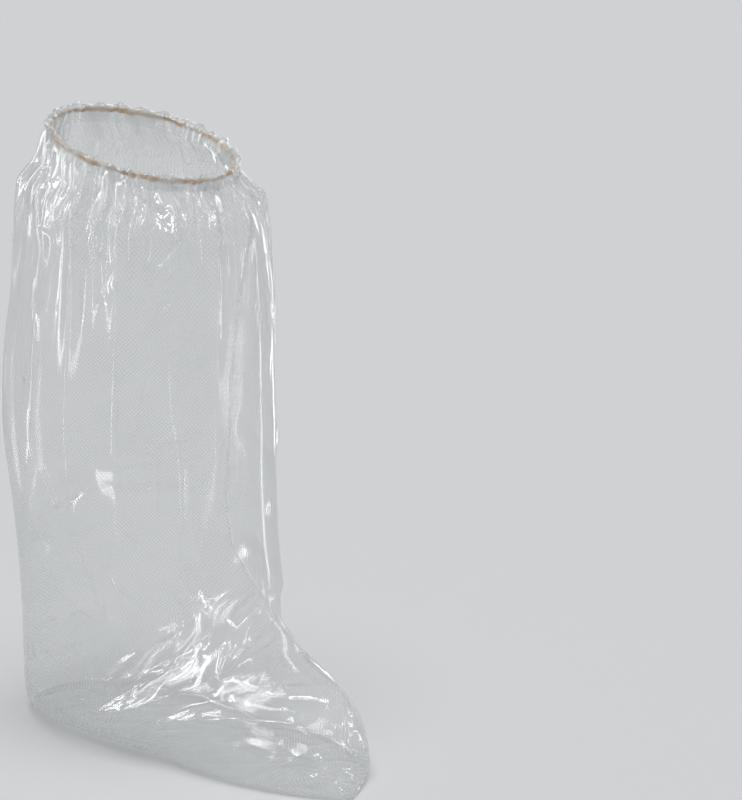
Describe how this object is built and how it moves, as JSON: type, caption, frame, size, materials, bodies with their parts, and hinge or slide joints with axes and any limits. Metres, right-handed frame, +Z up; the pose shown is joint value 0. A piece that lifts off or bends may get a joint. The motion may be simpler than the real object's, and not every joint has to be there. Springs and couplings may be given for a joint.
{
  "type": "over-boot cover",
  "caption": "Disposable knee-length cover of clear embossed film, shaped as worn over a boot, with an elastic gathered mouth and a flat sole.",
  "frame": {"origin": "inner face of the sole, under the middle of the leg, where the wearer's sole stands", "axes": "+X to the toe, +Y to the wearer's left, +Z up along the leg"},
  "size_m": [0.3188, 0.191, 0.4385],
  "materials": {
    "film": "clear film with a fine diamond emboss, glossy on the crests of its folds",
    "elastic": "natural tan rubber thread, matt"
  },
  "bodies": {
    "root": {"film_bag": "film", "elastic_band": "elastic"}
  },
  "joints": []
}
